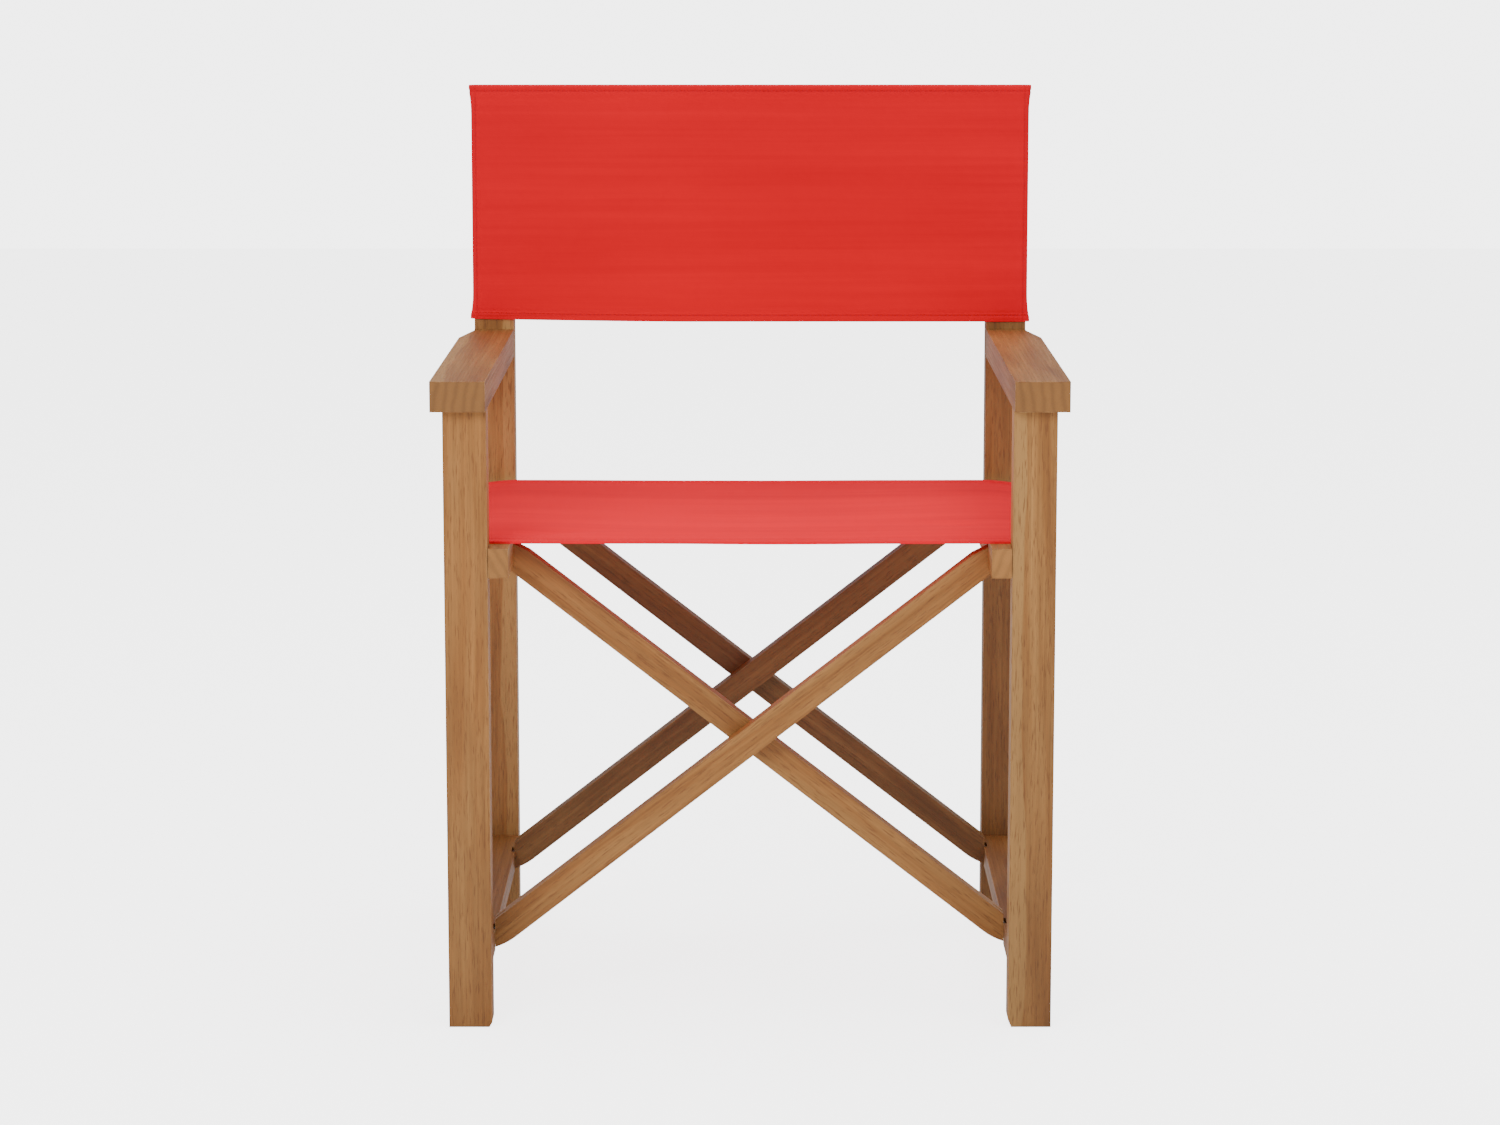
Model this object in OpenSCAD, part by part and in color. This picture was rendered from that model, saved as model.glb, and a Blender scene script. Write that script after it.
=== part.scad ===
// Folding director chair. Two side frames of two uprights, an armrest and a lower stretcher
// are joined by a front and a rear pair of crossed struts, which raise the seat rails as it folds.
// Millimetres. +Z is up, the sitter faces -Y, and the origin is on the floor under the middle.

/* [Side frames] */
// Width over the outer faces of the legs
frame_w = 562; // [530:1:600]
// Depth from the front legs' front faces to the rear posts' back faces
frame_d = 480; // [460:1:520]
// Width of a leg or post, seen from the front
leg_w = 40; // [36:1:46]
// Depth of a leg or post, seen from the side
leg_t = 30; // [26:1:34]
// Height of the armrests' upper faces
arm_z = 608; // [580:1:640]
// Height of the rear posts
post_h = 852; // [820:1:900]

/* [Armrests] */
// Width of an armrest
arm_w = 50.5; // [46:0.5:60]
// Thickness of an armrest
arm_t = 28; // [24:1:32]
// How far an armrest stands out in front of its leg
arm_over = 12; // [6:1:20]
// Length of the taper at the armrest's rear outer corner
arm_taper = 70; // [40:1:100]
// Length left straight behind that taper
arm_heel = 10; // [4:1:20]

/* [Lower stretchers] */
// Height of a stretcher's underside
stretcher_z = 59; // [56:1:61]
// Thickness of a stretcher
stretcher_t = 20; // [18:1:22]

/* [Struts] */
// Width of a strut, seen from the front
strut_w = 25; // [22:1:26]
// Thickness of a strut
strut_t = 20; // [18:1:22]
// How far the pivots lie inside the legs' inner faces
pivot_in = 10; // [9.5:0.5:10.5]
// Height of the lower pivots
foot_pivot_z = 80; // [78:1:81]
// How far the upper pivots lie under the seat rails' upper faces
top_pivot_drop = 12.5; // [12.5:0.5:14]
// Front face of the front pair, behind the front legs' front faces
front_pair = 60; // [56:1:80]
// Front face of the rear pair, on the same scale
rear_pair = 378; // [340:1:382]
// Gap between the two struts of a pair, filled by a washer
strut_gap = 2; // [1.5:0.5:3]
// Radius of a strut's narrowed upper end
strut_tip_r = 8.5; // [8:0.5:8.5]
// Length over which a strut narrows
strut_taper = 20; // [16:1:60]

/* [Seat] */
// Height of the seat rails' upper faces
seat_z = 452; // [440:1:470]
// Width of a seat rail
rail_w = 18.5; // [18:0.5:19]
// Height of a seat rail
rail_h = 27; // [25:1:32]
// Clear space between a seat rail and its legs
rail_gap = 0.5; // [0.4:0.1:0.8]
// Clear space between a seat rail's rear end and its post
rail_short = 6; // [5:1:12]
// How far the seat canvas lies out past the legs' inner faces
seat_out = 27; // [10:1:32]
// Depth of the seat canvas
seat_d = 407; // [390:1:410]

/* [Canvas] */
// Thickness of one layer of canvas
canvas_t = 1.2; // [1:0.1:1.4]
// Height of the back canvas's lower edge
back_z = 616; // [612:1:640]
// Clear space between the back canvas and its posts
canvas_gap = 0.3; // [0.3:0.1:0.6]

/* [Hardware] */
// Diameter of the lower hinge pins and the seat rail rods
pin_d = 5; // [4:0.5:5.5]
// Diameter of the pins where the struts cross
cross_pin_d = 8; // [6:0.5:9]
// Radial running clearance of every pin that something turns on
pin_fit = 0.06; // [0.04:0.01:0.1]
// Thickness of the hinge plates
plate_t = 3; // [2:0.5:4]
// Diameter of the wooden dowels
dowel_d = 10; // [8:1:10]

/* [Hidden] */
$fn = 48;
post_x = frame_w / 2;                  // outer face of a leg
in_x = post_x - leg_w;                 // inner face of a leg
piv_x = in_x - pivot_in;               // pivots' distance from the middle
top_pivot_z = seat_z - top_pivot_drop;
strut_l = norm([2 * piv_x, top_pivot_z - foot_pivot_z]);
strut_a = atan2(top_pivot_z - foot_pivot_z, 2 * piv_x);
cross_z = (top_pivot_z + foot_pivot_z) / 2;
canvas_out = canvas_gap + canvas_t;    // from a post's face to the canvas's outer face
front_y = -(frame_d + canvas_out - arm_over) / 2;
post_front = frame_d - leg_t;          // front face of a rear post, behind the front legs' faces
back_top = post_h + 3;                 // upper edge of the back canvas
pairs = [front_pair, rear_pair];
step = strut_t + strut_gap;            // from a slash strut's front face to its partner's
notch_x = piv_x + strut_w / 2 + 1;     // bottom of a stretcher's notch
notch_side = 0.6;                      // space beside a strut in its notch or slot
kerf_u = 8.5;                          // how far a strut's kerf runs past its pin
foot_bend_r = 60;                      // radius of the bend in a strut's lower edge at its foot
foot_bend_u = 2;                       // where that bend starts, from the foot pin
kerf_side = 0.2;                       // space beside a hinge plate in its kerf
plate_r = 7;                           // round end of a hinge plate
plate_in = 28;                         // depth of a hinge plate in its stretcher
pin_cover = 2;                         // wood left in front of a hinge pin
rail_x = in_x - rail_gap - rail_w;     // inner face of a seat rail
rail_d = post_front - rail_short;      // length of a seat rail
slot_top = top_pivot_z + strut_tip_r + 0.5;
rod_blind = 12;                        // rod's reach in front of the foremost strut
seat_front = leg_t + 3;                // front edge of the seat canvas
seat_half = in_x + seat_out;
seat_t = 2 * canvas_t;
staple_w = 10;
staple_wire = 1.2;
staple_t = 0.7;
staple_leg = 8;
dowel_end = 22;                        // a dowel's reach into each piece
dowel_off = 9;                         // from a leg's centre line to each dowel of a pair
foot_cut = [[2.5, 4], [3, 7]];         // worn inner corners of the left and right front feet

// A box from its low corner to its high corner; y is counted back from the front legs' faces.
module box(low, high)
    translate([low[0], low[1] + front_y, low[2]]) cube(high - low);

// A front-view outline, given thickness from one depth to another.
module slab(d0, d1)
    translate([0, front_y + d1, 0]) rotate([90, 0, 0]) linear_extrude(d1 - d0) children();

// A rod along the chair's depth.
module y_rod(x, z, r, d0, d1)
    translate([x, front_y + d1, z]) rotate([90, 0, 0]) cylinder(r = r, h = d1 - d0);

// The same pieces serve the right side (1) and, mirrored, the left side (-1).
module side(s)
    if (s > 0) children(); else mirror([1, 0, 0]) children();

module wood() color([0.70, 0.51, 0.33]) children();
module red() color([0.87, 0.19, 0.20]) children();
module steel() color([0.62, 0.62, 0.60]) children();

// Dowels: two stand in the leg's top, and two lie at each of the other three joints.
module dowel_pair_lying(z, d, grow)
    for (i = [-1, 1])
        y_rod(post_x - leg_w / 2 + i * dowel_off, z, dowel_d / 2,
              d - dowel_end - grow, d + dowel_end + grow);

module dowel_shapes(grow) {
    for (i = [-1, 1])
        translate([post_x - leg_w / 2 + i * dowel_off, front_y + leg_t / 2,
                   arm_z - arm_t - dowel_end - grow])
            cylinder(r = dowel_d / 2, h = 2 * dowel_end + grow);
    dowel_pair_lying(arm_z - arm_t / 2, post_front, grow);
    dowel_pair_lying(stretcher_z + stretcher_t / 2, leg_t, grow);
    dowel_pair_lying(stretcher_z + stretcher_t / 2, post_front, grow);
}

module front_leg(s) {
    cut = foot_cut[s > 0 ? 1 : 0];
    wood() side(s) difference() {
        slab(0, leg_t) polygon([
            [in_x + cut[0], 0], [post_x, 0], [post_x, arm_z - arm_t], [in_x, arm_z - arm_t],
            [in_x, cut[1]]
        ]);
        dowel_shapes(1);
    }
}

module rear_post(s)
    wood() side(s) difference() {
        box([in_x, post_front, 0], [post_x, frame_d, post_h]);
        dowel_shapes(1);
    }

module armrest(s) {
    out_x = in_x + arm_w;
    wood() side(s) difference() {
        translate([0, front_y, arm_z - arm_t]) linear_extrude(arm_t) polygon([
            [in_x, -arm_over], [out_x, -arm_over],
            [out_x, post_front - arm_heel - arm_taper], [post_x, post_front - arm_heel],
            [post_x, post_front], [in_x, post_front]
        ]);
        dowel_shapes(1);
    }
}

// Depth of the middle of each strut whose foot is on this side.
function foot_mids(s) = [for (p = pairs) p + (s > 0 ? step : 0) + strut_t / 2];

module plate_outline() {
    translate([piv_x, foot_pivot_z]) circle(r = plate_r);
    polygon([
        [piv_x, foot_pivot_z - plate_r], [notch_x, stretcher_z + 5],
        [notch_x + plate_in, stretcher_z + 5], [notch_x + plate_in, stretcher_z + stretcher_t - 3],
        [notch_x, stretcher_z + stretcher_t - 3], [piv_x, foot_pivot_z + plate_r]
    ]);
}

module stretcher(s)
    wood() side(s) difference() {
        box([in_x, leg_t, stretcher_z], [post_x, post_front, stretcher_z + stretcher_t]);
        for (m = foot_mids(s)) {
            box([in_x - 1, m - strut_t / 2 - notch_side, stretcher_z - 1],
                [notch_x, m + strut_t / 2 + notch_side, stretcher_z + stretcher_t + 1]);
            slab(m - plate_t / 2, m + plate_t / 2) plate_outline();
        }
        dowel_shapes(1);
    }

module hinge_plates(s)
    steel() side(s) for (m = foot_mids(s)) difference() {
        slab(m - plate_t / 2, m + plate_t / 2) plate_outline();
        y_rod(piv_x, foot_pivot_z, pin_d / 2 + pin_fit, m - plate_t, m + plate_t);
    }

module dowels(s)
    color([0.82, 0.68, 0.50]) side(s) dowel_shapes(0);

// A strut lies along +X with its foot pin at the origin. Its foot is cut upright, level with the
// leg's inner face when the chair is open, and its lower edge bends towards that cut.
module strut_outline() {
    w = strut_w / 2;
    intersection() {
        translate([-2 * strut_w, -w]) square([2 * strut_w + foot_bend_u, 2 * w]);
        rotate(-strut_a) translate([-pivot_in, -3 * strut_w]) square([4 * strut_w, 6 * strut_w]);
        translate([foot_bend_u, foot_bend_r - w]) circle(r = foot_bend_r, $fn = 180);
    }
    polygon([
        [foot_bend_u, -w], [strut_l - strut_taper, -w], [strut_l, -strut_tip_r],
        [strut_l, strut_tip_r], [strut_l - strut_taper, w], [foot_bend_u, w]
    ]);
    translate([strut_l, 0]) circle(r = strut_tip_r);
}

module on_slope() translate([-piv_x, foot_pivot_z]) rotate(strut_a) children();

module kerf_outline()
    translate([-2 * strut_w, -strut_w]) square([2 * strut_w + kerf_u, 2 * strut_w]);

// lean 1 rises to the right and holds the cross pin; lean -1 rises to the left and turns on it.
module strut(lean, pair) {
    d = pair + (lean > 0 ? 0 : step);
    kerf = plate_t / 2 + kerf_side;
    wood() mirror([lean > 0 ? 0 : 1, 0, 0]) difference() {
        slab(d, d + strut_t) on_slope() strut_outline();
        slab(d + strut_t / 2 - kerf, d + strut_t / 2 + kerf) on_slope() kerf_outline();
        y_rod(-piv_x, foot_pivot_z, pin_d / 2, d + pin_cover, d + strut_t + 1);
        y_rod(piv_x, top_pivot_z, pin_d / 2 + pin_fit, d - 1, d + strut_t + 1);
        if (lean > 0)
            y_rod(0, cross_z, cross_pin_d / 2, d + 6, d + strut_t + 1);
        else
            y_rod(0, cross_z, cross_pin_d / 2 + pin_fit, d - 1, d + strut_t + 1);
    }
}

module foot_pins(lean)
    steel() for (p = pairs) {
        d = p + (lean > 0 ? 0 : step);
        y_rod(-lean * piv_x, foot_pivot_z, pin_d / 2, d + pin_cover, d + strut_t);
    }

// Depth just behind the rear strut of a pair.
function behind(p) = p + step + strut_t + 0.1;

module ring(z, r_in, r_out, d0, d1)
    difference() {
        y_rod(0, z, r_out, d0, d1);
        y_rod(0, z, r_in, d0 - 1, d1 + 1);
    }

module cross_pins()
    steel() for (p = pairs) y_rod(0, cross_z, cross_pin_d / 2, p + 6, behind(p) + 6);

module cross_spacers()
    steel() for (p = pairs)
        ring(cross_z, cross_pin_d / 2 + 0.2, 10, p + strut_t, p + step - 0.1);

module cross_back_washers()
    steel() for (p = pairs)
        ring(cross_z, cross_pin_d / 2 + 0.2, 9, behind(p), behind(p) + 1.5);

// Closed nuts with a domed end, screwed onto the pins.
module cross_cap_nuts()
    steel() for (p = pairs) difference() {
        translate([0, front_y + behind(p) + 1.5, cross_z]) rotate([-90, 0, 0])
            rotate_extrude() polygon([[0, 0], [6.5, 0], [6.5, 4], [5.5, 6], [3, 7.2], [0, 7.6]]);
        y_rod(0, cross_z, cross_pin_d / 2, behind(p) - 1, behind(p) + 6);
    }

// Front face of each strut whose head is in this side's rail.
function head_fronts(s) = [for (p = pairs) p + (s > 0 ? 0 : step)];

function rod_front(s) = head_fronts(s)[0] - rod_blind;

module seat_rail(s)
    wood() side(s) difference() {
        box([rail_x, 0, seat_z - rail_h], [rail_x + rail_w, rail_d, seat_z]);
        for (d = head_fronts(s))
            box([rail_x - 1, d - notch_side, seat_z - rail_h - 1],
                [rail_x + rail_w + 1, d + strut_t + notch_side, slot_top]);
        y_rod(piv_x, top_pivot_z, pin_d / 2, rod_front(s), rail_d + 1);
    }

module rail_rod(s)
    steel() side(s) y_rod(piv_x, top_pivot_z, pin_d / 2, rod_front(s), rail_d - 3);

// Staples stand clear of the slots: one before, four between and one behind the two pairs.
function staple_ds() = concat(
    [front_pair - 20],
    [for (i = [0 : 3]) front_pair + 54 + i * (rear_pair - front_pair - 78) / 3],
    [rear_pair + 46]);

module staple_crowns(grow)
    for (d = staple_ds())
        box([rail_x + rail_w / 2 - staple_wire / 2 - grow, d - grow, seat_z - grow],
            [rail_x + rail_w / 2 + staple_wire / 2 + grow, d + staple_w + grow,
             seat_z + staple_t + grow]);

module seat_staples(s)
    steel() side(s) {
        staple_crowns(0);
        for (d = staple_ds(), e = [0, staple_w - staple_wire])
            box([rail_x + rail_w / 2 - staple_wire / 2, d + e, seat_z - staple_leg],
                [rail_x + rail_w / 2 + staple_wire / 2, d + e + staple_wire, seat_z + 0.1]);
    }

// Two layers, laid over both rails and out past them between the legs.
module seat_canvas()
    red() difference() {
        box([-seat_half, seat_front, seat_z], [seat_half, seat_front + seat_d, seat_z + seat_t]);
        for (s = [-1, 1]) side(s) staple_crowns(0.1);
    }

// A flat tube, open below, that slips down over both rear posts.
module back_canvas() {
    x = post_x + canvas_gap;
    red() difference() {
        box([-x - canvas_t, post_front - canvas_out, back_z],
            [x + canvas_t, frame_d + canvas_out, back_top]);
        box([-x, post_front - canvas_gap, back_z - 1],
            [x, frame_d + canvas_gap, back_top - canvas_t]);
    }
}

front_leg(-1);  // left_front_leg
rear_post(-1);  // left_rear_post
armrest(-1);  // left_armrest
stretcher(-1);  // left_stretcher
hinge_plates(-1);  // left_hinge_plates
dowels(-1);  // left_dowels
front_leg(1);  // right_front_leg
rear_post(1);  // right_rear_post
armrest(1);  // right_armrest
stretcher(1);  // right_stretcher
hinge_plates(1);  // right_hinge_plates
dowels(1);  // right_dowels
strut(1, front_pair);  // slash_front_strut
strut(1, rear_pair);  // slash_rear_strut
foot_pins(1);  // slash_foot_pins
cross_pins();
cross_spacers();
cross_back_washers();
cross_cap_nuts();
strut(-1, front_pair);  // backslash_front_strut
strut(-1, rear_pair);  // backslash_rear_strut
foot_pins(-1);  // backslash_foot_pins
seat_rail(-1);  // left_seat_rail
rail_rod(-1);  // left_rail_rod
seat_staples(-1);  // left_seat_staples
seat_rail(1);  // right_seat_rail
rail_rod(1);  // right_rail_rod
seat_staples(1);  // right_seat_staples
seat_canvas();
back_canvas();
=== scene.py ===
"""Folding director chair: teak frame with finished edges and grain, and a sewn canvas seat and back."""

import math
from collections import namedtuple

import bmesh
import bpy
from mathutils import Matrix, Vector, noise


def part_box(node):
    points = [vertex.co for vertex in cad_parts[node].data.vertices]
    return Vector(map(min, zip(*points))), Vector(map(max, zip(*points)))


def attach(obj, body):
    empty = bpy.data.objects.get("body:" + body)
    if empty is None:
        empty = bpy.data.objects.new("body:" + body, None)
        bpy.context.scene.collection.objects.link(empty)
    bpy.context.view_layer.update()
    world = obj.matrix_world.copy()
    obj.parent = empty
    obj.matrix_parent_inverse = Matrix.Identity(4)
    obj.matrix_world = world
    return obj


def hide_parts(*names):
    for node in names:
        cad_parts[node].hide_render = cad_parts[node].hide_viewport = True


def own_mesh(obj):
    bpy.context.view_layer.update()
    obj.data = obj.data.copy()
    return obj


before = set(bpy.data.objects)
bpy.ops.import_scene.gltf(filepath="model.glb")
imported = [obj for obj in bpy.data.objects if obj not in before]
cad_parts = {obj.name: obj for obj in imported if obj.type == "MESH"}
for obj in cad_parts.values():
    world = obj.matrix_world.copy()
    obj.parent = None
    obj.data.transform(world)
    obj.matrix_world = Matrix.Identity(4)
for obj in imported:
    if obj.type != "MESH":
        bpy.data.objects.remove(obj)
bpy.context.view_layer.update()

MM = 0.001
# Where the main parts of the chair are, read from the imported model.
POST_LOW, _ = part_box("right_rear_post")
RAIL_LOW, RAIL_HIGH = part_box("right_seat_rail")
SEAT_LOW, SEAT_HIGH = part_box("seat_canvas")
BACK_LOW, BACK_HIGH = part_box("back_canvas")
FOOT_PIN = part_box("slash_foot_pins")
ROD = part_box("right_rail_rod")

# The scissor: a strut spans from its foot pin to its rail's rod, equally far past the middle, and
# turns by the fold joint.
HINGE_RUN = -(FOOT_PIN[0][0] + FOOT_PIN[1][0])
HINGE_RISE = (ROD[0][2] + ROD[1][2] - FOOT_PIN[0][2] - FOOT_PIN[1][2]) / 2
OPEN_SLOPE = math.atan2(HINGE_RISE, HINGE_RUN)

# Linear colours.
TEAK_DARK = (0.170, 0.058, 0.013)
TEAK_MID = (0.330, 0.130, 0.028)
TEAK_LIGHT = (0.480, 0.225, 0.062)
TEAK_WORN = (0.540, 0.290, 0.110)
END_GRAIN = (0.370, 0.158, 0.040)
SAPWOOD = (0.560, 0.300, 0.095)
BACK_RED = (0.760, 0.0004, 0.0130)
# Painted light: the seat is the same canvas as the back, painted a lighter red for the overhead light on
# its upper face.
SEAT_RED_PAINTED_LIT = (0.960, 0.0040, 0.0220)
THREAD_RED = (0.500, 0.006, 0.018)
ZINC_DULL = (0.42, 0.42, 0.40)
ZINC_BRIGHT = (0.58, 0.58, 0.56)

# Layers of noise, each drawn out along the texture's X axis.
Layer = namedtuple("Layer", "along across scale detail roughness distortion")
FIGURE = Layer(1.1, 17, 3.0, 4, 0.5, 0.9)  # broad bands of the wood's figure
STREAKS = Layer(3.0, 190, 2.0, 4, 0.65, 0.2)  # growth lines
PORES = Layer(70, 900, 1.0, 2, 0.5, 0.0)  # short open pores
BLOTCHES = Layer(4, 9, 2.0, 3, 0.5, 0.0)  # uneven oil
SAP_EDGE = Layer(2.6, 6, 2.0, 2, 0.4, 0.0)  # how the edge of the sapwood wanders
HANDLING = Layer(9, 40, 2.0, 3, 0.6, 0.0)  # where hands have rubbed the edges
SLUBS = Layer(2.5, 160, 1.0, 4, 0.6, 0.0)  # thick places in the canvas's threads
PAINTED_SHADE_BANDS = Layer(2.2, 34, 1.0, 3, 0.55, 0.4)  # painted shade: broad streaks along X, standing in for the shading of shallow tension folds
FADING = Layer(1, 1, 5.0, 3, 0.5, 0.0)  # broad fading of the dye
SCUFFS = Layer(1, 1, 240.0, 4, 0.5, 0.0)  # handling marks on the steel
NOISE_LOW, NOISE_HIGH = 0.3, 0.7  # nearly all of a noise's values lie between these

# The wood.
BOARD_STEP = (1.7, 0.43, 0.29)  # how far apart in the texture two boards are cut
RING_OFFSET, RING_SPREAD = 0.56, 0.02  # from the texture's origin to the heart of a board's rings
PORE_DEPTH = 0.60  # how dark a pore is
GROUND_SHADE_LOW, GROUND_SHADE_HIGH = 0.05, 0.60  # painted shade: the wood darkens between these heights, towards the ground
SAP_WANDER, SAP_BLUR, SAP_STRENGTH = 5 * MM, 0.8 * MM, 0.6
WORN_REACH, WORN_STRENGTH = 1.3 * MM, 0.75  # the rubbed edge itself
EDGE_SHADE_REACH, EDGE_SHADE_STRENGTH = 3.2 * MM, 0.30  # painted shade: the dark line beside it, along every edge

# The canvas.
WEAVE_PITCH = 1.1 * MM  # over two threads
WEAVE_SHADE = 0.05  # how much darker the cloth is between its threads
SEAM_SHADE = 0.11  # and along its seams, as painted shade of the groove the stitching pulls
SEAM_NEAR, SEAM_FAR = 0.4 * MM, 1.6 * MM  # the cloth is pulled in this near a seam, and darkened there with painted shade


# ---------------------------------------------------------------- materials


def new_material(name):
    mat = bpy.data.materials.new(name)
    mat.use_nodes = True
    tree = mat.node_tree
    return mat, tree, tree.nodes["Principled BSDF"]


def add(tree, kind, inputs=None, **settings):
    """A shader node with its settings, and its inputs set to values or joined to sockets."""
    n = tree.nodes.new(kind)
    for key, value in settings.items():
        setattr(n, key, value)
    for key, value in (inputs or {}).items():
        if isinstance(value, bpy.types.NodeSocket):
            tree.links.new(value, n.inputs[key])
        else:
            n.inputs[key].default_value = value
    return n


def ramp(tree, factor, stops):
    """A colour ramp through (position, colour) stops."""
    n = add(tree, "ShaderNodeValToRGB", {"Fac": factor})
    bands = n.color_ramp.elements
    bands[0].position, bands[1].position = stops[0][0], stops[-1][0]
    bands[0].color, bands[1].color = (*stops[0][1], 1), (*stops[-1][1], 1)
    for at, colour in stops[1:-1]:
        bands.new(at).color = (*colour, 1)
    return n.outputs["Color"]


def maths(tree, operation, a, b=0.0):
    return add(tree, "ShaderNodeMath", {0: a, 1: b}, operation=operation).outputs[0]


def mix(tree, factor, a, b, blend="MIX"):
    """Colour b over colour a, as strongly as the factor says."""
    # The Mix node has one socket of each name for each data type, so these go by number.
    n = add(tree, "ShaderNodeMix", data_type="RGBA", blend_type=blend)
    for index, value in ((0, factor), (6, a), (7, b)):
        if isinstance(value, bpy.types.NodeSocket):
            tree.links.new(value, n.inputs[index])
        elif index:
            n.inputs[index].default_value = (*value, 1)
        else:
            n.inputs[index].default_value = value
    return n.outputs[2]


def shaded(tree, colour, brightness):
    """The colour times a brightness."""
    grey = add(tree, "ShaderNodeCombineColor", {0: brightness, 1: brightness, 2: brightness})
    return mix(tree, 1.0, colour, grey.outputs[0], "MULTIPLY")


def map_range(tree, value, low, high, to_low, to_high):
    return add(
        tree, "ShaderNodeMapRange",
        {"Value": value, "From Min": low, "From Max": high, "To Min": to_low, "To Max": to_high},
    ).outputs[0]


def spread(tree, value, to_low, to_high):
    """A noise brought to a range of its own."""
    return map_range(tree, value, NOISE_LOW, NOISE_HIGH, to_low, to_high)


def layer_noise(tree, place, layer):
    scale = (layer.along, layer.across, layer.across)
    vector = add(tree, "ShaderNodeMapping", {"Vector": place, "Scale": scale}).outputs[0]
    return add(
        tree, "ShaderNodeTexNoise",
        {"Vector": vector, "Scale": layer.scale, "Detail": layer.detail,
         "Roughness": layer.roughness, "Distortion": layer.distortion},
    ).outputs["Fac"]


def edge_mask(tree, reach):
    """1 at a board's edges, falling to 0 at the given distance from them."""
    rounded = add(tree, "ShaderNodeBevel", {"Radius": reach}, samples=6).outputs[0]
    flat = add(tree, "ShaderNodeNewGeometry").outputs["True Normal"]
    same = add(tree, "ShaderNodeVectorMath", {0: rounded, 1: flat}, operation="DOT_PRODUCT")
    return map_range(tree, same.outputs["Value"], 1.0, 0.86, 0.0, 1.0)


def sapwood_mask(tree, spot, placed, sap):
    """SAP_STRENGTH in a strip of sapwood, which lies below its place on its axis, or above for side -1."""
    axis, place, side = sap
    across = add(tree, "ShaderNodeSeparateXYZ", {0: spot}).outputs[axis]
    wander = spread(tree, layer_noise(tree, placed, SAP_EDGE), -SAP_WANDER, SAP_WANDER)
    edge = maths(tree, "ADD", across, wander)
    blur = side * SAP_BLUR
    return map_range(tree, edge, place + blur, place - blur, 0.0, SAP_STRENGTH)


def end_grain(tree, placed, seed):
    """The rings on a board's cut ends."""
    _, step_y, step_z = BOARD_STEP
    heart = (0, -seed * step_y - RING_SPREAD * (seed % 3), -seed * step_z - RING_OFFSET)
    space = add(tree, "ShaderNodeMapping", {"Vector": placed, "Scale": (0.2, 1, 1), "Location": heart})
    rings = add(
        tree, "ShaderNodeTexWave",
        {"Vector": space.outputs[0], "Scale": 34.0, "Distortion": 2.2, "Detail": 3.0, "Detail Scale": 2.0},
        wave_type="RINGS", rings_direction="X",
    ).outputs["Fac"]
    late = tuple(c * 0.84 for c in END_GRAIN)
    early = tuple(c * 1.06 for c in END_GRAIN)
    return ramp(tree, rings, [(0.0, late), (0.5, END_GRAIN), (1.0, early)])


def end_mask(tree, normal, turn):
    """1 on a board's cut ends, which face along the texture's X axis."""
    facing = add(tree, "ShaderNodeMapping", {"Vector": normal, "Rotation": turn}, vector_type="NORMAL")
    along = add(tree, "ShaderNodeSeparateXYZ", {0: facing.outputs[0]}).outputs["X"]
    return map_range(tree, maths(tree, "ABSOLUTE", along), 0.75, 0.9, 0.0, 1.0)


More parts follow.
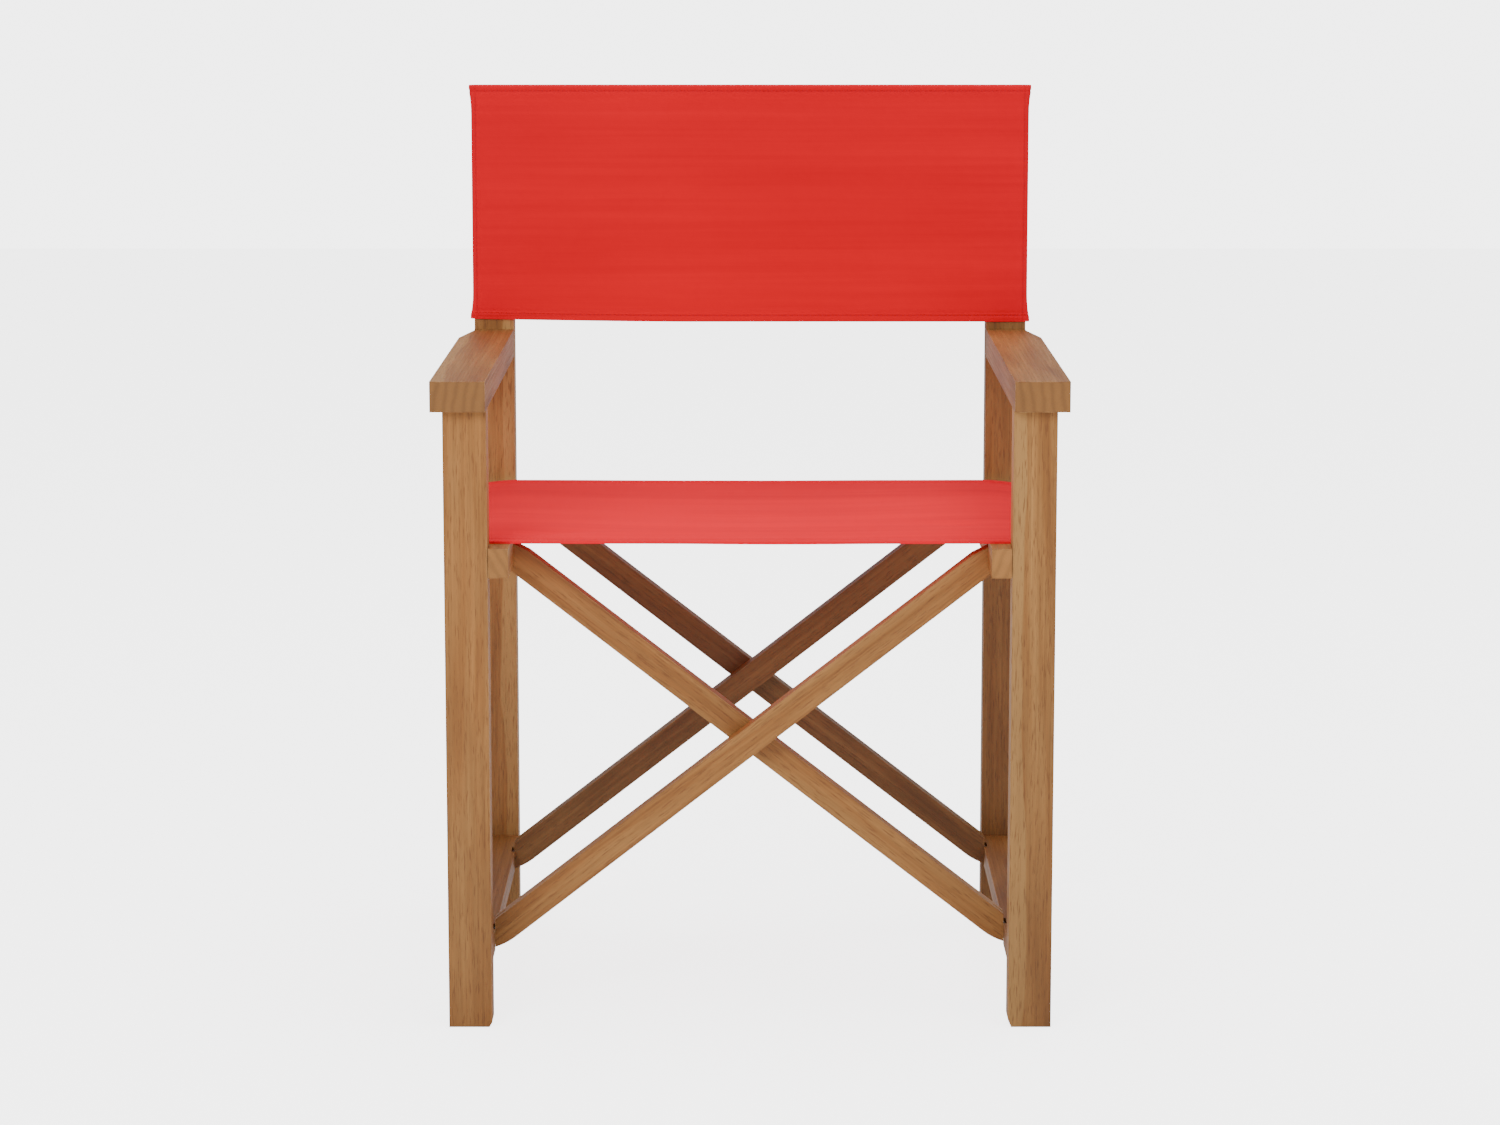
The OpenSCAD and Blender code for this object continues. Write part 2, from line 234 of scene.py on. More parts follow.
def teak(name, turn, seed, tone_and_shade=1.0, sap=None):
    """Oiled teak. turn brings the board's length onto the texture's X axis; seed picks the board."""
    mat, tree, bsdf = new_material(name)
    coords = add(tree, "ShaderNodeTexCoord")
    spot, normal = coords.outputs["Object"], coords.outputs["Normal"]
    cut = tuple(seed * step for step in BOARD_STEP)
    placed = add(tree, "ShaderNodeMapping", {"Vector": spot, "Rotation": turn, "Location": cut}).outputs[0]

    figure, streaks, pores, blotches, handling = (
        layer_noise(tree, placed, layer) for layer in (FIGURE, STREAKS, PORES, BLOTCHES, HANDLING)
    )
    colour = ramp(tree, figure, [(0.16, TEAK_DARK), (0.42, TEAK_MID), (0.74, TEAK_LIGHT)])
    colour = shaded(tree, colour, spread(tree, streaks, 0.80, 1.14))
    if sap:
        colour = mix(tree, sapwood_mask(tree, spot, placed, sap), colour, SAPWOOD)
    open_pores = map_range(tree, pores, 0.56, 0.68, 0.0, PORE_DEPTH)
    colour = mix(tree, open_pores, colour, TEAK_DARK)
    # Cut ends drink more oil, and show rings in place of streaks.
    colour = mix(tree, end_mask(tree, normal, turn), colour, end_grain(tree, placed, seed))
    # Painted shade: the wood is painted darker towards the ground, under the seat.
    height = add(tree, "ShaderNodeSeparateXYZ", {0: spot}).outputs["Z"]
    ground_shade = map_range(tree, height, GROUND_SHADE_LOW, GROUND_SHADE_HIGH, 0.74, 1.10)
    # Uneven oil, times the board's tone, which is partly painted shade.
    oil_and_shade = spread(tree, blotches, 0.88 * tone_and_shade, 1.08 * tone_and_shade)
    colour = shaded(tree, colour, maths(tree, "MULTIPLY", oil_and_shade, ground_shade))
    # Handling rubs the edges pale and dull in places, and a line of painted shade darkens every edge just
    # beside them.
    handled = map_range(tree, handling, 0.42, 0.62, 0.0, WORN_STRENGTH)
    rubbed = maths(tree, "MULTIPLY", edge_mask(tree, WORN_REACH), handled)
    edge_shade = maths(tree, "MULTIPLY", edge_mask(tree, EDGE_SHADE_REACH), EDGE_SHADE_STRENGTH)
    colour = mix(tree, edge_shade, colour, TEAK_DARK)
    colour = mix(tree, rubbed, colour, TEAK_WORN)
    tree.links.new(colour, bsdf.inputs["Base Color"])

    polish = spread(tree, streaks, 0.58, 0.44)
    dulled = maths(tree, "ADD", polish, maths(tree, "MULTIPLY", rubbed, 0.16))
    tree.links.new(dulled, bsdf.inputs["Roughness"])
    relief = maths(tree, "SUBTRACT", streaks, maths(tree, "MULTIPLY", open_pores, 0.8))
    bump = add(tree, "ShaderNodeBump", {"Height": relief, "Strength": 0.35, "Distance": 0.6 * MM})
    tree.links.new(bump.outputs[0], bsdf.inputs["Normal"])
    bsdf.inputs["Specular IOR Level"].default_value = 0.4
    return mat


def seam_mask(tree, parts, seams):
    """1 on the sewn lines, each given as (axis, place), falling to 0 a little way off."""
    pulled = 0.0
    for axis, place in seams:
        away = maths(tree, "ABSOLUTE", maths(tree, "SUBTRACT", parts.outputs[axis], place))
        near = map_range(tree, away, SEAM_NEAR, SEAM_FAR, 1.0, 0.0)
        pulled = maths(tree, "MAXIMUM", pulled, near)
    return pulled


def canvas(name, colour, second, streaked, seams):
    """Plain-weave canvas. One set of threads runs along X, and the other along axis second, 1 or 2.

    streaked is how much the painted shade in the bands along X shows, and seams are the sewn lines, as
    (axis, place), each darkened with painted shade.
    """
    mat, tree, bsdf = new_material(name)
    coords = add(tree, "ShaderNodeTexCoord").outputs["Object"]
    parts = add(tree, "ShaderNodeSeparateXYZ", {0: coords})
    wave = 2 * math.pi / WEAVE_PITCH
    across_x = maths(tree, "SINE", maths(tree, "MULTIPLY", parts.outputs[0], wave))
    across_second = maths(tree, "SINE", maths(tree, "MULTIPLY", parts.outputs[second], wave))
    weave = maths(tree, "MULTIPLY", across_x, across_second)
    slubs, bands, fading = (layer_noise(tree, coords, layer) for layer in (SLUBS, PAINTED_SHADE_BANDS, FADING))
    pulled = seam_mask(tree, parts, seams)

    tint_and_shade = maths(tree, "ADD", spread(tree, slubs, 0.95, 1.03), spread(tree, fading, -0.03, 0.03))
    # Painted shade: broad lighter and darker bands along X.
    tint_and_shade = maths(tree, "ADD", tint_and_shade, spread(tree, bands, -streaked, streaked))
    tint_and_shade = maths(tree, "ADD", tint_and_shade, maths(tree, "MULTIPLY", weave, WEAVE_SHADE))
    # Painted shade along the seams, in the groove that the stitching pulls.
    tint_and_shade = maths(tree, "SUBTRACT", tint_and_shade, maths(tree, "MULTIPLY", pulled, SEAM_SHADE))
    tree.links.new(shaded(tree, colour, tint_and_shade), bsdf.inputs["Base Color"])

    relief = maths(tree, "ADD", maths(tree, "MULTIPLY", weave, 0.5), slubs)
    relief = maths(tree, "SUBTRACT", relief, pulled)
    bump = add(tree, "ShaderNodeBump", {"Height": relief, "Strength": 0.30, "Distance": 0.4 * MM})
    tree.links.new(bump.outputs[0], bsdf.inputs["Normal"])
    bsdf.inputs["Roughness"].default_value = 0.86
    bsdf.inputs["Specular IOR Level"].default_value = 0.08
    bsdf.inputs["Sheen Weight"].default_value = 0.02
    bsdf.inputs["Sheen Roughness"].default_value = 0.5
    return mat


def zinc():
    mat, tree, bsdf = new_material("zinc_plate")
    scuffs = layer_noise(tree, add(tree, "ShaderNodeTexCoord").outputs["Object"], SCUFFS)
    tree.links.new(spread(tree, scuffs, 0.28, 0.46), bsdf.inputs["Roughness"])
    plate = ramp(tree, scuffs, [(NOISE_LOW, ZINC_DULL), (NOISE_HIGH, ZINC_BRIGHT)])
    tree.links.new(plate, bsdf.inputs["Base Color"])
    bsdf.inputs["Metallic"].default_value = 1.0
    return mat


def thread():
    mat, _, bsdf = new_material("red_thread")
    bsdf.inputs["Base Color"].default_value = (*THREAD_RED, 1)
    bsdf.inputs["Roughness"].default_value = 0.7
    return mat


# ---------------------------------------------------------------- frame

# The turns that bring each kind of board's length onto the texture's X axis.
ALONG_Z = (0, math.pi / 2, 0)
ALONG_Y = (0, 0, -math.pi / 2)
ALONG_SLASH = (0, OPEN_SLOPE, 0)
ALONG_BACKSLASH = (0, -OPEN_SLOPE, 0)
# Node, grain turn, and tone of each board. The tone is partly the board's own colour of teak and partly
# painted shade: the rear struts and the right rear post, further back, are painted darker, and the front
# struts lighter.
BOARDS = [
    ("left_front_leg", ALONG_Z, 1.08), ("right_front_leg", ALONG_Z, 0.94),
    ("left_rear_post", ALONG_Z, 0.90), ("right_rear_post", ALONG_Z, 0.66),
    ("left_armrest", ALONG_Y, 0.73), ("right_armrest", ALONG_Y, 0.73),
    ("left_stretcher", ALONG_Y, 0.80), ("right_stretcher", ALONG_Y, 0.78),
    ("slash_front_strut", ALONG_SLASH, 1.14), ("backslash_front_strut", ALONG_BACKSLASH, 1.12),
    ("slash_rear_strut", ALONG_SLASH, 0.56), ("backslash_rear_strut", ALONG_BACKSLASH, 0.58),
    ("left_seat_rail", ALONG_Y, 1.05), ("right_seat_rail", ALONG_Y, 1.10),
]
# Boards with a strip of sapwood: the axis across it, its share of the board, and its side, 1 for
# the low end of that axis and -1 for the high end.
SAP_STRIPS = {
    "right_front_leg": (0, 0.28, 1), "left_rear_post": (0, 0.30, -1),
    "left_armrest": (0, 0.22, 1), "right_stretcher": (2, 0.35, 1), "left_seat_rail": (2, 0.30, 1),
}
DOWEL_SEED, DOWEL_TONE = 31, 1.3
METAL_WORDS = ("plates", "pins", "spacers", "washers", "nuts", "rod", "staples")
EASED_EDGE = 1.4 * MM  # the rounding of a sanded edge
EASED_FROM = 35  # degrees between faces from which an edge is sanded round


def paint(piece, mat):
    piece.data.materials.clear()
    piece.data.materials.append(mat)


def sap_strip(node):
    """A board's strip of sapwood as (axis, place, side), or None."""
    if node not in SAP_STRIPS:
        return None
    axis, share, side = SAP_STRIPS[node]
    low, high = (corner[axis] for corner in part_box(node))
    return axis, low + (high - low) * (share if side > 0 else 1 - share), side


def finish_boards():
    """Each board gets its own cut of teak and lightly rounded edges."""
    for seed, (node, turn, tone_and_shade) in enumerate(BOARDS, 1):
        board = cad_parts[node]
        paint(board, teak("teak_" + node, turn, seed, tone_and_shade, sap_strip(node)))
        eased = board.modifiers.new("eased_edges", "BEVEL")
        eased.width = EASED_EDGE
        eased.segments = 3
        eased.limit_method = "ANGLE"
        eased.angle_limit = math.radians(EASED_FROM)
        eased.harden_normals = False


def finish_hardware():
    metal = zinc()
    dowel = teak("dowel_wood", ALONG_Z, DOWEL_SEED, DOWEL_TONE)
    for node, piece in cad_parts.items():
        if any(word in node for word in METAL_WORDS):
            paint(piece, metal)
        elif "dowels" in node:
            paint(piece, dowel)


# ---------------------------------------------------------------- cloth

GRID_STEP = 6 * MM  # between neighbouring points of a cloth
LINE_STEP = 12 * MM  # between neighbouring points of a stitched line
# A stitch: its length, the gap to the next, and half its width.
STITCH, STITCH_GAP, STITCH_HALF = 2.6 * MM, 1.5 * MM, 0.35 * MM


def ripple(x, y, seed, size):
    """Smooth noise from -1 to 1, with bumps of about the given size in metres."""
    return noise.noise(Vector((x / size, y / size, seed)))


def mesh_piece(name, points, faces, mat):
    mesh = bpy.data.meshes.new(name)
    mesh.from_pydata(points, [], faces)
    mesh.validate()
    mesh.materials.append(mat)
    piece = bpy.data.objects.new(name, mesh)
    bpy.context.scene.collection.objects.link(piece)
    return piece


def smooth(piece, sharp):
    """Smooth faces, with folds sharper than this many degrees kept at the cut edges."""
    for p in piece.data.polygons:
        p.use_smooth = True
    piece.data.set_sharp_from_angle(angle=math.radians(sharp))


def closed_grid(name, top, bottom, mat):
    """A closed sheet from two grids of points of the same size."""
    rows, cols = len(top), len(top[0])
    points = [p for row in top for p in row] + [p for row in bottom for p in row]
    half = rows * cols
    faces = []
    for r in range(rows - 1):
        for c in range(cols - 1):
            a, b = r * cols + c, r * cols + c + 1
            d, e = a + cols, b + cols
            faces += [(a, b, e, d), (half + a, half + d, half + e, half + b)]
    rim = list(range(cols)) + [r * cols + cols - 1 for r in range(1, rows)]
    rim += [(rows - 1) * cols + c for c in range(cols - 2, -1, -1)]
    rim += [r * cols for r in range(rows - 2, 0, -1)]
    for i, a in enumerate(rim):
        b = rim[(i + 1) % len(rim)]
        faces.append((a, half + a, half + b, b))
    piece = mesh_piece(name, points, faces, mat)
    bm = bmesh.new()
    bm.from_mesh(piece.data)
    bmesh.ops.recalc_face_normals(bm, faces=bm.faces)
    bm.to_mesh(piece.data)
    bm.free()
    smooth(piece, sharp=40)
    return piece


def spaced(low, high, step):
    """Even places from low to high, about a step apart."""
    n = max(1, round((high - low) / step))
    return [low + (high - low) * i / n for i in range(n + 1)]


def stitch_row(points, name, mat, normal):
    """Short threads along a line, each a flat six-sided bead standing a little out of the cloth."""
    verts, faces, carry = [], [], 0.0
    up = Vector(normal).normalized()
    for a, b in zip(points, points[1:]):
        a, b = Vector(a), Vector(b)
        run = b - a
        way = run.normalized()
        side = way.cross(up).normalized() * STITCH_HALF
        rise = up * STITCH_HALF
        at = carry
        while at + STITCH < run.length:
            start, end, mid = a + way * at, a + way * (at + STITCH), a + way * (at + STITCH / 2)
            n = len(verts)
            verts += [start, end, mid + side, mid - side, mid + rise, mid - rise]
            for i, j in ((2, 4), (4, 3), (3, 5), (5, 2)):
                faces += [(n, n + i, n + j), (n + 1, n + j, n + i)]
            at += STITCH + STITCH_GAP
        carry = max(0.0, at - run.length)
    return mesh_piece(name, verts, faces, mat)


# ---------------------------------------------------------------- seat

SEAT_X = SEAT_HIGH[0]  # the seat canvas reaches this far to each side
SEAT_DEPTH = SEAT_HIGH[1] - SEAT_LOW[1]
RAIL_IN, RAIL_OUT = RAIL_LOW[0], RAIL_HIGH[0]
SEAT_LIFT = 0.1 * MM  # clear of the rails
SEAT_LAYER = 1.9 * MM
SEAT_SAG, HEM_SAG = 5 * MM, 0.12  # the tight hems sag by this share of it
SEAT_PULLS = 0.55 * MM  # height of the shallow waves between the rails
SEAT_DROOP = 2.5 * MM  # how far the free edges hang outside the rails
# A crease runs in from each front corner: its depth, half width, reach, and how soon it starts.
CREASE, CREASE_HALF, CREASE_REACH, CREASE_START = 2.4 * MM, 16 * MM, 75 * MM, 8 * MM
# Where it meets the left and the right rail, behind the front edge, and how fast it runs back.
CREASE_LINES = ((40 * MM, 0.55), (105 * MM, 0.30))
SEAT_HEM, HEM_FOLD = 16 * MM, 0.7 * MM  # how wide the turned hem is, and what it adds
SEAT_STITCH = SEAT_HEM - 2 * MM  # from the edge to the stitching
SEAT_GROOVE, SEAT_GROOVE_HALF = 0.35 * MM, 0.8 * MM  # the groove that the stitching pulls
SEAT_ROUND, SEAT_ROUND_DEPTH = 2 * MM, 0.5 * MM  # the rounding of the hem's outer edge
# Rows of points near a hem, in mm from the edge: close together at the stitching.
SEAT_MARKS = (0, 0.6, 2, 6, 10, 13, 13.5, 14, 14.5, 15, 16, 17, 20)
SEAT_OPEN = 26 * MM  # the even rows start this far from the edge


def crease_at(x, y):
    """Depth of the crease at a point of the seat."""
    inward, back = RAIL_IN - abs(x), y - SEAT_LOW[1]
    if inward <= 0:
        return 0.0
    start, slope = CREASE_LINES[x > 0]
    away = (back - (start + slope * inward)) / CREASE_HALF
    fade = math.exp(-(away ** 2) - (inward / CREASE_REACH) ** 2)
    return CREASE * fade * inward / (inward + CREASE_START)


def seat_height(x, y):
    """Underside of the seat canvas: flat on the rails, hanging a little between them."""
    depth = min(1, max(0, (y - SEAT_LOW[1]) / SEAT_DEPTH))
    between = 1 - min(1.0, abs(x) / RAIL_IN) ** 2
    sag = SEAT_SAG * between ** 1.3 * (HEM_SAG + (1 - HEM_SAG) * math.sin(math.pi * depth))
    pulls = SEAT_PULLS * between ** 0.5 * ripple(x * 0.35, y, 3.0, 0.045)
    outside = max(0.0, (abs(x) - RAIL_OUT) / (SEAT_X - RAIL_OUT))
    droop = SEAT_DROOP * outside ** 1.5
    return SEAT_LOW[2] + SEAT_LIFT - sag + pulls - crease_at(x, y) - droop


def seat_layer(y):
    """Thickness of the seat: turned hems at the front and rear, with a groove at the stitching."""
    edge = min(y - SEAT_LOW[1], SEAT_HIGH[1] - y)
    thickness = SEAT_LAYER
    if edge < SEAT_HEM:
        thickness += HEM_FOLD
    if edge < SEAT_ROUND:
        thickness -= SEAT_ROUND_DEPTH * (1 - edge / SEAT_ROUND)
    if abs(edge - SEAT_STITCH) < SEAT_GROOVE_HALF:
        thickness -= SEAT_GROOVE
    return thickness


def seat_top(x, y):
    return x, y, seat_height(x, y) + seat_layer(y)


def seat_piece(name, x_low, x_high, mat):
    low, high = SEAT_LOW[1], SEAT_HIGH[1]
    ys = [low + mark * MM for mark in SEAT_MARKS]
    ys += spaced(low + SEAT_OPEN, high - SEAT_OPEN, GRID_STEP)
    ys += [high - mark * MM for mark in reversed(SEAT_MARKS)]
    xs = spaced(x_low, x_high, 5 * MM)
    bottom = [[(x, y, seat_height(x, y)) for x in xs] for y in ys]
    top = [[seat_top(x, y) for x in xs] for y in ys]
    return closed_grid(name, top, bottom, mat)


def make_seat():
    seams = {"front": SEAT_LOW[1] + SEAT_STITCH, "rear": SEAT_HIGH[1] - SEAT_STITCH}
    cloth = canvas(
        "seat_canvas_red", SEAT_RED_PAINTED_LIT, second=1, streaked=0.06, seams=[(1, y) for y in seams.values()]
    )
    sewn = thread()
    parts = [
        ("seat_panel", -RAIL_IN, RAIL_IN, "left_rail", True),
        ("seat_left_hem", -SEAT_X, -RAIL_IN, "left_rail", False),
        ("seat_right_hem", RAIL_IN, SEAT_X, "right_rail", False),
    ]
    for name, x_low, x_high, body, folds in parts:
        piece = seat_piece(name, x_low, x_high, cloth)
        stitches = []
        for label, y in seams.items():
            line = [seat_top(x, y) for x in spaced(x_low, x_high, LINE_STEP)]
            stitches.append(stitch_row(line, f"{name}_{label}_stitch", sewn, (0, 0, 1)))
        for part in (piece, *stitches):
            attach(part, body)
            if folds:
                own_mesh(part)
    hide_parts("seat_canvas")


# ---------------------------------------------------------------- back

BACK_LAYER = 1.1 * MM
SLEEVE_IN = POST_LOW[0] - 1 * MM  # a sleeve's inner edge, just inside its post
BACK_MID_Y = (BACK_LOW[1] + BACK_HIGH[1]) / 2
BACK_HALF_Y = (BACK_HIGH[1] - BACK_LOW[1]) / 2
CORNER = 5 * MM  # radius of the tube's corners, seen from above
HEM, HEM_PROUD = 8 * MM, 0.45 * MM  # the turned lower hem: its height, and how far it stands out
# The sewn lines, from the lower edge, the top and the side.
LOW_STITCH, TOP_STITCH, SIDE_STITCH = HEM - 1.5 * MM, 5 * MM, 4.5 * MM
BACK_GROOVE, BACK_GROOVE_HALF = 0.4 * MM, 0.7 * MM  # the groove that the stitching pulls
SLACK, WAVES, BROAD_WAVES = 1.6 * MM, 0.9 * MM, 0.7 * MM  # how the cloth lies between the posts
# The corners flare: how far out, and over what height at the top and at the bottom.
FLARE, FLARE_TOP, FLARE_LOW = 2.2 * MM, 13 * MM, 14 * MM
CORNER_LIFT = 2.2 * MM  # how far the lower edge rises at the left post
CROWN, SEAM_DIP = 0.8 * MM, 0.7 * MM  # the top edge's rounding, and the dip along its seam
WELD = 0.02 * MM  # points nearer than this are one point
# Rows of points in mm from the lower edge and from the top, close together at the stitching.
LOW_MARKS = (0, 1.0, 4.0, 5.6, 6.0, 6.5, 7.0, 7.4, 8.1, 9.5, 13)
TOP_MARKS = (9, 6.2, 5.6, 5.0, 4.4, 3.8, 2.0, 0.9)
PINCHES = (0.12, 0.3, 0.5, 0.7, 0.85, 0.95, 1.0)  # of the rings that close over the top


def back_ring():
    """The tube's outline from above, as (x, y, outward x, outward y), with rounded corners."""
    x_out, front = BACK_HIGH[0], BACK_LOW[1]
    turn = x_out - CORNER
    run = spaced(-turn, -SLEEVE_IN, GRID_STEP)
    run += spaced(-SLEEVE_IN, SLEEVE_IN, 8 * MM)[1:] + spaced(SLEEVE_IN, turn, GRID_STEP)[1:]
    half = [(x, front, 0.0, -1.0) for x in run]
    for degrees in (-67.5, -45, -22.5, 0):
        c, s = math.cos(math.radians(degrees)), math.sin(math.radians(degrees))
        half.append((turn + CORNER * c, front + CORNER + CORNER * s, c, s))
    half += [(x_out, y, 1.0, 0.0) for y in spaced(front + CORNER, BACK_MID_Y, GRID_STEP)[1:]]
    # The rear mirrors the front, and then the left end mirrors the right one.
    ring = half + [(x, 2 * BACK_MID_Y - y, nx, -ny) for x, y, nx, ny in reversed(half[:-1])]
    right_end = [p for p in ring if p[0] > turn + 1e-9]
    return ring + [(-x, y, -nx, ny) for x, y, nx, ny in reversed(right_end)]


def back_point(x, y, nx, ny, z, pinch):
    """A point of the back canvas's outer face; pinch runs from 0 on the sides to 1 at the top seam."""
    low, high = BACK_LOW[2], BACK_HIGH[2]
    up = (z - low) / (high - low)
    over_post = max(0.0, min(1.0, (abs(x) - SLEEVE_IN) / (3 * MM)))
    open_cloth = (1 - min(1.0, abs(x) / SLEEVE_IN) ** 6) * (1 - over_post)
    # Between the posts the cloth hangs a little slack; on them it lies tight.
    slack = open_cloth * (SLACK * math.sin(math.pi * up) + WAVES * ripple(x * 0.3, z, 7.0 + ny, 0.05))
    slack += open_cloth * BROAD_WAVES * ripple(x, z * 0.5, 11.0 + ny, 0.16)
    hem = HEM_PROUD if z - low < HEM else 0.0
    if min(abs(z - low - LOW_STITCH), abs(high - z - TOP_STITCH)) < BACK_GROOVE_HALF:
        hem -= BACK_GROOVE
    # The hems are thicker at the corners and pull less.
    flare = FLARE * (math.exp(-(((z - high) / FLARE_TOP) ** 2)) + math.exp(-(((z - low) / FLARE_LOW) ** 2)))
    px = x + nx * (hem + flare)
    py = y + ny * (hem - slack)
    # The lower edge rises over its lowest quarter, from a quarter of the way to the left post.
    leftward = max(0.0, (-x / SLEEVE_IN - 0.25) / 0.75)
    pz = z + CORNER_LIFT * max(0.0, 1 - up * 4) * leftward ** 1.5
    if pinch:
        turn = pinch * math.pi / 2
        py = BACK_MID_Y + (py - BACK_MID_Y) * math.cos(turn)
        pz += CROWN * math.sin(turn) - (SEAM_DIP if pinch == 1 else 0)
    return px, py, pz


def back_rows():
    """(height, pinch) of each ring, close together at the hems."""
    low, high = BACK_LOW[2], BACK_HIGH[2]
    heights = [low + mark * MM for mark in LOW_MARKS]
    heights += spaced(low + 20 * MM, high - 14 * MM, 7 * MM)
    heights += [high - mark * MM for mark in TOP_MARKS]
    return [(z, 0.0) for z in heights] + [(high - 0.3 * MM, pinch) for pinch in PINCHES]


def back_part(a, b):
    """Which of the three parts a stretch of the ring belongs to: -1 left, 0 middle, 1 right."""
    middle = (a[0] + b[0]) / 2
    return -1 if middle < -SLEEVE_IN else 1 if middle > SLEEVE_IN else 0


def part_mesh(ring, rows, part):
    """The points and the quads of one part of the tube."""
    count = len(ring)
    grid = [[back_point(*p, z, pinch) for p in ring] for z, pinch in rows]
    points, index, faces = [], {}, []

    def number(r, c):
        key = (r, c % count)
        if key not in index:
            index[key] = len(points)
            points.append(grid[r][c % count])
        return index[key]

    used = [i for i in range(count) if back_part(ring[i], ring[(i + 1) % count]) == part]
    for r in range(len(rows) - 1):
        for i in used:
            faces.append((number(r, i), number(r, i + 1), number(r + 1, i + 1), number(r + 1, i)))
    return points, faces


def close_top(piece):
    """Joins each front point of the top seam to the rear point behind it; faces turn outwards."""
    bm = bmesh.new()
    bm.from_mesh(piece.data)
    bmesh.ops.remove_doubles(bm, verts=bm.verts, dist=WELD)
    bmesh.ops.recalc_face_normals(bm, faces=bm.faces)
    outward = sum(f.normal.y * (f.calc_center_median().y - BACK_MID_Y) * f.calc_area() for f in bm.faces)
    if outward < 0:
        bmesh.ops.reverse_faces(bm, faces=bm.faces)
    bm.to_mesh(piece.data)
    bm.free()


def thicken(piece):
    """Gives the cloth its thickness, inwards from the outer face."""
    thick = piece.modifiers.new("layer", "SOLIDIFY")
    thick.thickness = BACK_LAYER
    thick.offset = -1
    bpy.context.view_layer.objects.active = piece
    with bpy.context.temp_override(object=piece):
        bpy.ops.object.modifier_apply(modifier=thick.name)


def back_piece(name, ring, rows, part, mat):
    piece = mesh_piece(name, *part_mesh(ring, rows, part), mat)
    close_top(piece)
    thicken(piece)
    smooth(piece, sharp=50)
    return piece


def back_stitches(name, part, x_low, x_high, mat):
    """The rows of thread on one part: along the hem and the top, and down a sleeve's outer edge."""
    low, high = BACK_LOW[2], BACK_HIGH[2]
    stitches = []
    for label, z in (("hem", low + LOW_STITCH), ("top", high - TOP_STITCH)):
        for side, face in (("front", -1), ("rear", 1)):
            y = BACK_MID_Y + face * BACK_HALF_Y
            line = [back_point(x, y, 0.0, float(face), z, 0.0) for x in spaced(x_low, x_high, LINE_STEP)]
            stitches.append(stitch_row(line, f"{name}_{side}_{label}_stitch", mat, (0, face, 0)))
    if part:
        x = part * (BACK_HIGH[0] - SIDE_STITCH)
        heights = spaced(low + 9 * MM, high - 7 * MM, LINE_STEP)
        line = [back_point(x, BACK_LOW[1], 0.0, -1.0, z, 0.0) for z in heights]
        stitches.append(stitch_row(line, f"{name}_side_stitch", mat, (0, -1, 0)))
    return stitches


def make_back():
    ring, rows = back_ring(), back_rows()
    corner, side_seam = BACK_HIGH[0] - CORNER, BACK_HIGH[0] - SIDE_STITCH
    low, high = BACK_LOW[2], BACK_HIGH[2]
    seams = [(2, low + LOW_STITCH), (2, high - TOP_STITCH), (0, side_seam), (0, -side_seam)]
    cloth = canvas("back_canvas_red", BACK_RED, second=2, streaked=0.035, seams=seams)
    sewn = thread()
    parts = [
        ("back_panel", 0, -SLEEVE_IN, SLEEVE_IN, "left_frame"),
        ("back_left_sleeve", -1, -corner, -SLEEVE_IN, "left_frame"),
        ("back_right_sleeve", 1, SLEEVE_IN, corner, "right_frame"),
    ]
    for name, part, x_low, x_high, body in parts:
        piece = back_piece(name, ring, rows, part, cloth)
        stitches = back_stitches(name, part, x_low, x_high, sewn)
        for p in [piece, *stitches]:
            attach(p, body)
            if not part:
                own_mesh(p)
    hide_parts("back_canvas")


# ---------------------------------------------------------------- studio

# The floor and the backdrop show whiter than they light, as a lit studio's do: (lights, shows).
FLOOR_GLOW = (0.1, 3.6)
BACKDROP_GLOW = (0.62, 4.6)
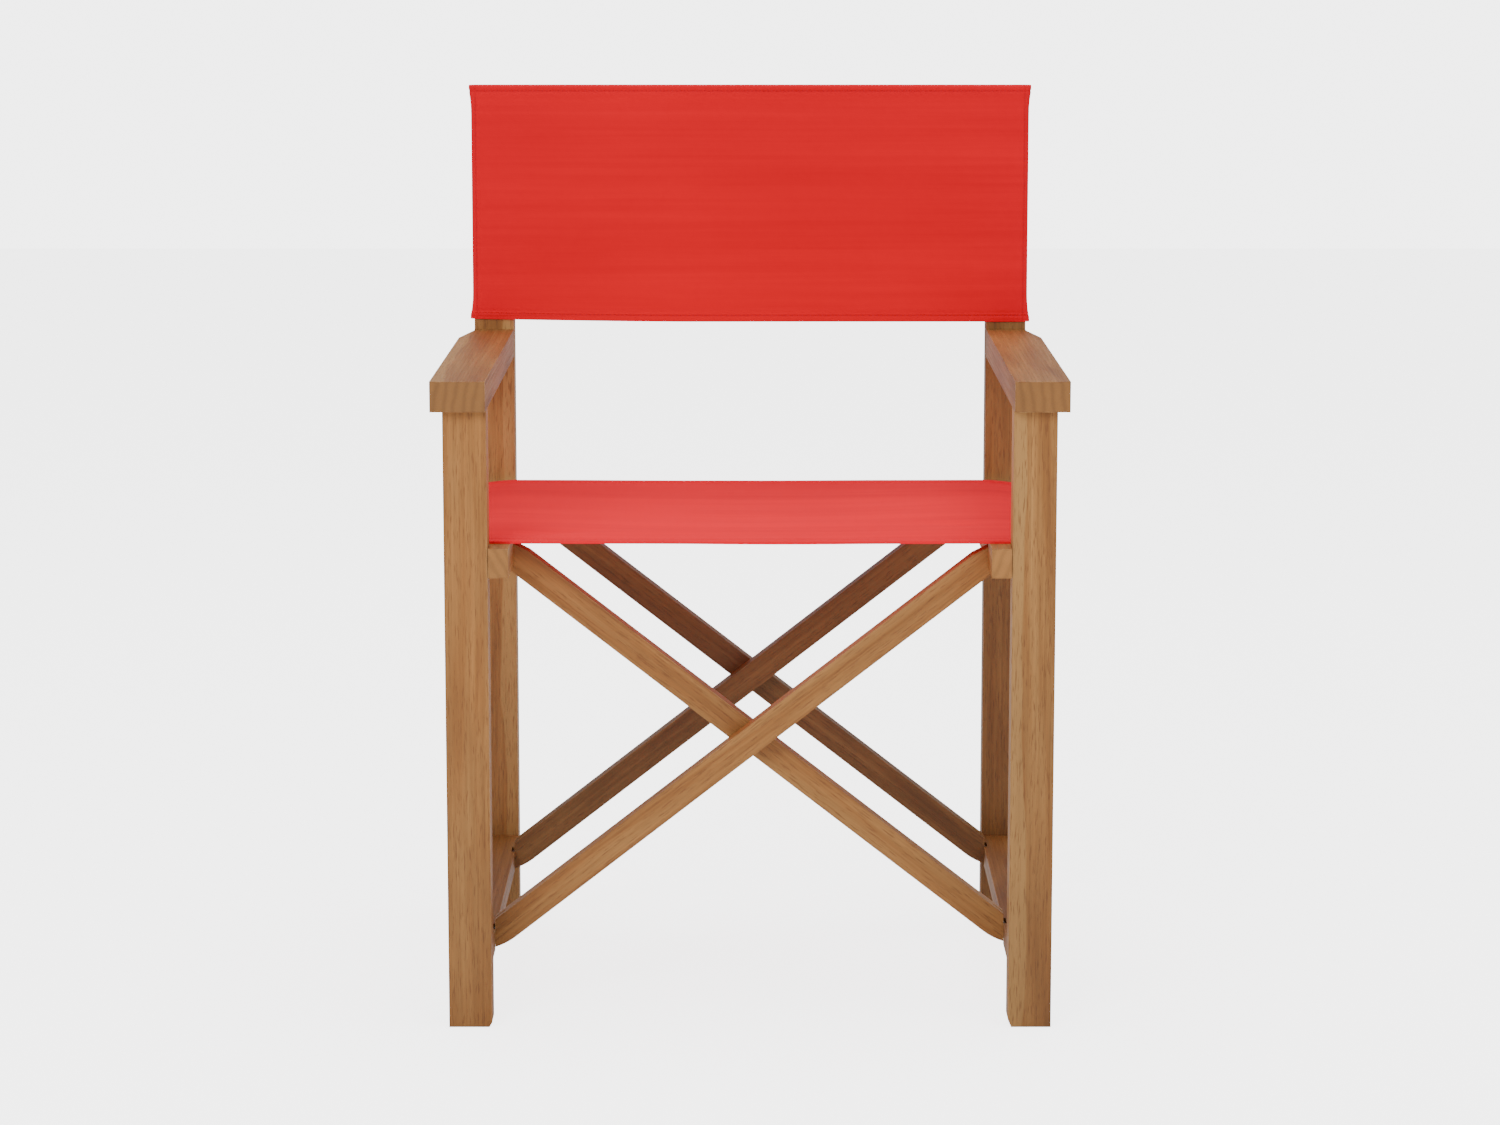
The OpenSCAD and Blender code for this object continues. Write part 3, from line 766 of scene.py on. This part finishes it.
# Name, place, the place it points at, size in metres and power in watts.
LIGHTS = [
    ("key", (-1.6, -3.4, 2.6), (0, 0, 0.45), 1.8, 70),
    ("fill", (2.6, -2.6, 1.6), (0, 0, 0.4), 2.2, 20),
    ("overhead", (0.2, 0.4, 3.4), (0, 0, 0.4), 2.6, 60),
]
# A long lens nearly four metres away, a little above the chair and tilted down to it.
LENS, SENSOR = 97.21, 36.0
CAMERA_PLACE, CAMERA_TILT = (0, -3.903, 1.034), 9.2


def glow(tree, strengths):
    """One strength for the light that is cast, and another for what the camera sees."""
    seen = add(tree, "ShaderNodeLightPath").outputs["Is Camera Ray"]
    return map_range(tree, seen, 0, 1, *strengths)


def make_floor():
    bpy.ops.mesh.primitive_plane_add(size=14, location=(0, 1.5, -0.5 * MM))
    floor = bpy.context.object
    floor.name = "floor"
    mat, tree, bsdf = new_material("floor_paper")
    bsdf.inputs["Base Color"].default_value = (0.92, 0.92, 0.92, 1)
    bsdf.inputs["Roughness"].default_value = 0.9
    bsdf.inputs["Emission Color"].default_value = (1, 1, 1, 1)
    tree.links.new(glow(tree, FLOOR_GLOW), bsdf.inputs["Emission Strength"])
    floor.data.materials.append(mat)


def area_light(name, place, target, size, power):
    data = bpy.data.lights.new(name, "AREA")
    data.shape, data.size, data.energy = "SQUARE", size, power
    lamp = bpy.data.objects.new(name, data)
    lamp.location = place
    lamp.rotation_euler = (Vector(target) - Vector(place)).to_track_quat("-Z", "Y").to_euler()
    bpy.context.scene.collection.objects.link(lamp)


def make_backdrop():
    world = bpy.data.worlds.new("studio")
    world.use_nodes = True
    background = world.node_tree.nodes["Background"]
    background.inputs["Color"].default_value = (1, 1, 1, 1)
    world.node_tree.links.new(glow(world.node_tree, BACKDROP_GLOW), background.inputs["Strength"])
    bpy.context.scene.world = world


def make_camera():
    data = bpy.data.cameras.new("camera")
    data.lens, data.sensor_width = LENS, SENSOR
    camera = bpy.data.objects.new("camera", data)
    camera.location = CAMERA_PLACE
    camera.rotation_euler = (math.radians(90 - CAMERA_TILT), 0, 0)
    bpy.context.scene.collection.objects.link(camera)
    bpy.context.scene.camera = camera


finish_boards()
finish_hardware()
make_seat()
make_back()
make_floor()
for light in LIGHTS:
    area_light(*light)
make_backdrop()
make_camera()
